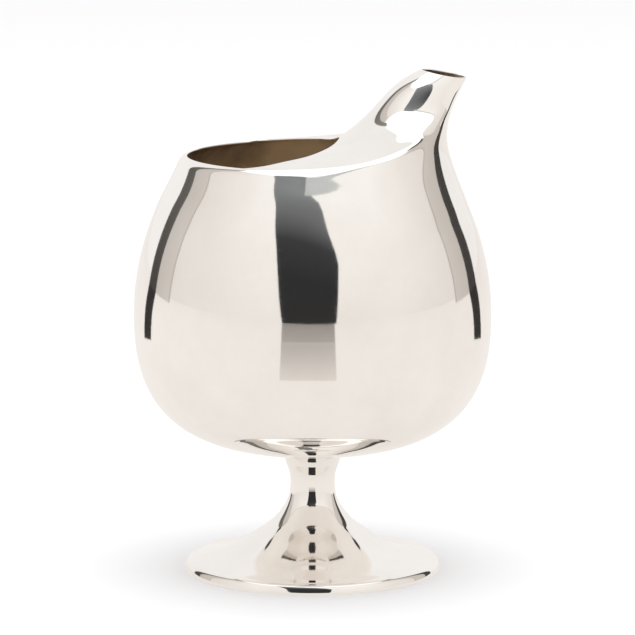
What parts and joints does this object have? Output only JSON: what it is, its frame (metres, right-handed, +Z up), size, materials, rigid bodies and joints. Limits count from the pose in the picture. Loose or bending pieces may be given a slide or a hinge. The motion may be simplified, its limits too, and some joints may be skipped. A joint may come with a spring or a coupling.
{
  "type": "footed water pitcher",
  "caption": "Round footed silver water pitcher with an open oval mouth on one side and a short closed spout rising from the other shoulder, on a waisted trumpet foot.",
  "frame": {"origin": "centre of the foot on the surface that the pitcher stands on", "axes": "+Z up along the axis of the body and foot, +X the way the spout points, XZ the mirror plane"},
  "size_m": [0.1692, 0.1692, 0.239],
  "materials": {
    "silver": "hand-polished silver, with a brown tarnish inside the body"
  },
  "bodies": {
    "root": {"bowl": "silver", "shoulder": "silver", "spout": "silver", "stem_collar": "silver", "foot": "silver", "foot_ring": "silver"}
  },
  "joints": []
}
